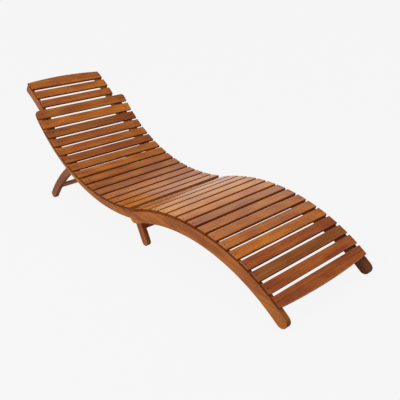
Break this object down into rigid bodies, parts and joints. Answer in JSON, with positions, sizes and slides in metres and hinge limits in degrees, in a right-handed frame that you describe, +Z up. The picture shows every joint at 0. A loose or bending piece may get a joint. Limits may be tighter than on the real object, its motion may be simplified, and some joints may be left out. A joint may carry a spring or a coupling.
{
  "type": "folding sun lounger",
  "caption": "Folding slatted wooden sun lounger with a wave-shaped bed, a hinged foot section and fold-under leg frames.",
  "frame": {"origin": "on the floor, under the middle of the bounding box", "axes": "+X from the head end to the foot end, +Y across to the left of a person lying on it, +Z up"},
  "size_m": [1.8222, 0.55, 0.6066],
  "materials": {
    "back_slats": "oiled",
    "foot_slats": "oiled",
    "head_slats": "oiled",
    "rails": "oiled",
    "leg_frames": "oiled",
    "fasteners": "satin"
  },
  "bodies": {
    "back_section": {"back_rail_left": "rails", "back_rail_right": "rails", "back_slat_01": "back_slats", "back_slat_02": "back_slats", "back_slat_03": "back_slats", "back_slat_04": "back_slats", "back_slat_05": "back_slats", "back_slat_06": "back_slats", "back_slat_07": "back_slats", "back_slat_08": "back_slats", "back_slat_09": "back_slats", "back_slat_10": "back_slats", "back_slat_11": "back_slats", "back_slat_12": "back_slats", "back_slat_13": "back_slats", "back_slat_14": "back_slats", "back_slat_15": "back_slats", "back_slat_screws": "fasteners", "head_rail_left": "rails", "head_rail_right": "rails", "head_rail_screws": "fasteners", "head_slat_01": "head_slats", "head_slat_02": "head_slats", "head_slat_03": "head_slats", "head_slat_screws": "fasteners", "mid_pivot_bolts": "fasteners", "rear_pivot_bolts": "fasteners"},
    "foot_section": {"foot_rail_left": "rails", "foot_rail_right": "rails", "foot_slat_01": "foot_slats", "foot_slat_02": "foot_slats", "foot_slat_03": "foot_slats", "foot_slat_04": "foot_slats", "foot_slat_05": "foot_slats", "foot_slat_06": "foot_slats", "foot_slat_07": "foot_slats", "foot_slat_08": "foot_slats", "foot_slat_09": "foot_slats", "foot_slat_10": "foot_slats", "foot_slat_11": "foot_slats", "foot_slat_12": "foot_slats", "foot_slat_13": "foot_slats", "foot_slat_14": "foot_slats", "foot_slat_15": "foot_slats", "foot_slat_screws": "fasteners", "hinge_bolts": "fasteners"},
    "rear_leg_frame": {"rear_crossbar": "leg_frames", "rear_leg_left": "leg_frames", "rear_leg_right": "leg_frames"},
    "mid_leg_frame": {"mid_crossbar": "leg_frames", "mid_leg_left": "leg_frames", "mid_leg_right": "leg_frames"}
  },
  "joints": [
    {"name": "fold", "type": "hinge", "parent": "back_section", "child": "foot_section", "pos_m": [0.05443, 0, 0.15488], "axis": [0, 1, 0], "range_deg": [0, 189]},
    {"name": "rear_leg_fold", "type": "hinge", "parent": "back_section", "child": "rear_leg_frame", "pos_m": [-0.4985, 0, 0.23648], "axis": [0, 1, 0], "range_deg": [-121.2, 0]},
    {"name": "mid_leg_fold", "type": "hinge", "parent": "back_section", "child": "mid_leg_frame", "pos_m": [-0.00042, 0, 0.14873], "axis": [0, 1, 0], "range_deg": [0, 112.14]}
  ],
  "couplings": [
    {"joint": "rear_leg_fold", "follows": "fold", "ratio": -0.64119},
    {"joint": "mid_leg_fold", "follows": "fold", "ratio": 0.59327}
  ]
}
